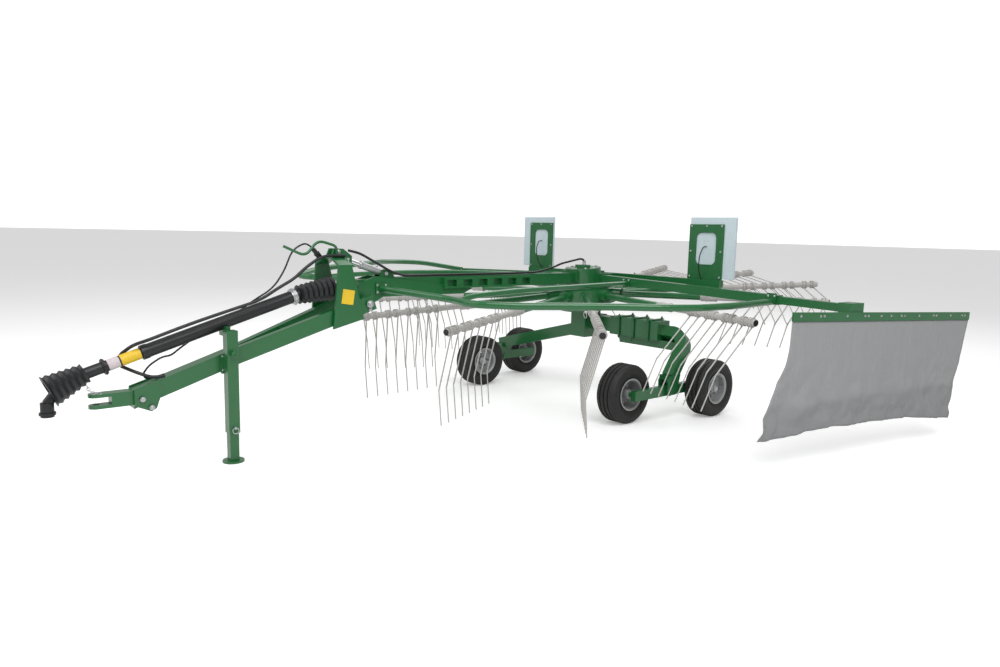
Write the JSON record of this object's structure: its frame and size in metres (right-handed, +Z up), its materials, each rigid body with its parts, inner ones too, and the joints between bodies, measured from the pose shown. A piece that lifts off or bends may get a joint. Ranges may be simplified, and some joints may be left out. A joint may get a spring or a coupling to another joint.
{
  "type": "single rotor trailed hay rake",
  "caption": "Trailed hay rake with a tilted spring-tine rotor on bogie wheels, portal drawbar, driveline, swath curtain and rear warning boards.",
  "frame": {"origin": "middle of the machine's outline on the ground", "axes": "+X forwards to the tractor, +Y to the machine's left, +Z up"},
  "size_m": [5.6345, 4.1059, 1.425],
  "materials": {
    "green_paint": "gloss paint",
    "pale_steel": "pale grey paint",
    "black_plastic": "moulded",
    "tyre": "ribbed rubber",
    "rim_steel": "silver paint",
    "grey_steel": "grey paint",
    "chrome_rod": "polished",
    "board_white": "white sheet",
    "curtain_fabric": "coated cloth"
  },
  "bodies": {
    "frame": {"main_beam": "green_paint", "storage_rack": "green_paint", "gear_head": "green_paint", "column": "green_paint", "axle_left": "green_paint", "axle_right": "green_paint", "cross_arms": "green_paint", "guard_left": "green_paint", "guard_right": "green_paint", "rear_cross_tube": "green_paint", "board_frames": "green_paint", "board_panels": "board_white", "input_shaft": "grey_steel", "frame_cables": "black_plastic"},
    "rotor": {"rotor_drum": "green_paint", "arm_shafts": "green_paint", "tines_lowered": "pale_steel", "tines_turning": "pale_steel", "tines_raised": "pale_steel"},
    "drawbar": {"drawbar_rails": "green_paint", "portal_arch": "green_paint", "hitch_clevis": "green_paint", "jack_sleeve": "green_paint", "hose_rod": "green_paint", "pto_tube": "black_plastic", "pto_bellows": "black_plastic", "pto_yoke": "black_plastic", "drawbar_hoses": "black_plastic", "drive_chain": "grey_steel"},
    "jack": {"jack_leg": "green_paint"},
    "lift_barrel": {"lift_barrel": "grey_steel"},
    "lift_rod": {"lift_rod": "chrome_rod"},
    "curtain": {"curtain_arm": "green_paint", "curtain_rail": "green_paint", "curtain_cloth": "curtain_fabric"},
    "bogie_left": {"bogie_left": "green_paint"},
    "bogie_right": {"bogie_right": "green_paint"},
    "wheel_front_left": {"tyre_fl": "tyre", "rim_fl": "rim_steel"},
    "wheel_front_right": {"tyre_fr": "tyre", "rim_fr": "rim_steel"},
    "wheel_rear_left": {"tyre_rl": "tyre", "rim_rl": "rim_steel"},
    "wheel_rear_right": {"tyre_rr": "tyre", "rim_rr": "rim_steel"}
  },
  "joints": [
    {"name": "rotor_spin", "type": "hinge", "parent": "frame", "child": "rotor", "pos_m": [-0.93169, -0.28759, 0.83], "axis": [0.0819, 0, 0.9966], "continuous": true},
    {"name": "drawbar_lift", "type": "hinge", "parent": "frame", "child": "drawbar", "pos_m": [1.09831, -0.28759, 0.84], "axis": [0, 1, 0], "range_deg": [0, 9]},
    {"name": "lift_barrel_pin", "type": "hinge", "parent": "frame", "child": "lift_barrel", "pos_m": [0.90831, -0.28759, 1.012], "axis": [0, 1, 0], "range_deg": [-1, 12]},
    {"name": "lift_rod_slide", "type": "slide", "parent": "lift_barrel", "child": "lift_rod", "axis": [0.9487, 0, 0.3162], "range_m": [-0.002, 0.06]},
    {"name": "jack_slide", "type": "slide", "parent": "drawbar", "child": "jack", "axis": [0, 0, 1], "range_m": [0, 0.14]},
    {"name": "curtain_slide", "type": "slide", "parent": "frame", "child": "curtain", "axis": [0, 0.9996, -0.0279], "range_m": [0, 0.3]},
    {"name": "bogie_left_pivot", "type": "hinge", "parent": "frame", "child": "bogie_left", "pos_m": [-0.87169, 0.61241, 0.205], "axis": [0, 1, 0], "range_deg": [-12, 12]},
    {"name": "bogie_right_pivot", "type": "hinge", "parent": "frame", "child": "bogie_right", "pos_m": [-0.87169, -1.18759, 0.205], "axis": [0, 1, 0], "range_deg": [-12, 12]},
    {"name": "wheel_front_left_spin", "type": "hinge", "parent": "bogie_left", "child": "wheel_front_left", "pos_m": [-0.53019, 0.50041, 0.205], "axis": [0, 1, 0], "continuous": true},
    {"name": "wheel_front_right_spin", "type": "hinge", "parent": "bogie_right", "child": "wheel_front_right", "pos_m": [-0.53019, -1.07559, 0.205], "axis": [0, 1, 0], "continuous": true},
    {"name": "wheel_rear_left_spin", "type": "hinge", "parent": "bogie_left", "child": "wheel_rear_left", "pos_m": [-1.21319, 0.72441, 0.205], "axis": [0, 1, 0], "continuous": true},
    {"name": "wheel_rear_right_spin", "type": "hinge", "parent": "bogie_right", "child": "wheel_rear_right", "pos_m": [-1.21319, -1.29959, 0.205], "axis": [0, 1, 0], "continuous": true}
  ],
  "couplings": [
    {"joint": "lift_barrel_pin", "follows": "drawbar_lift", "ratio": 0.55778},
    {"joint": "lift_rod_slide", "follows": "drawbar_lift", "m_per_rad": 0.22326}
  ]
}
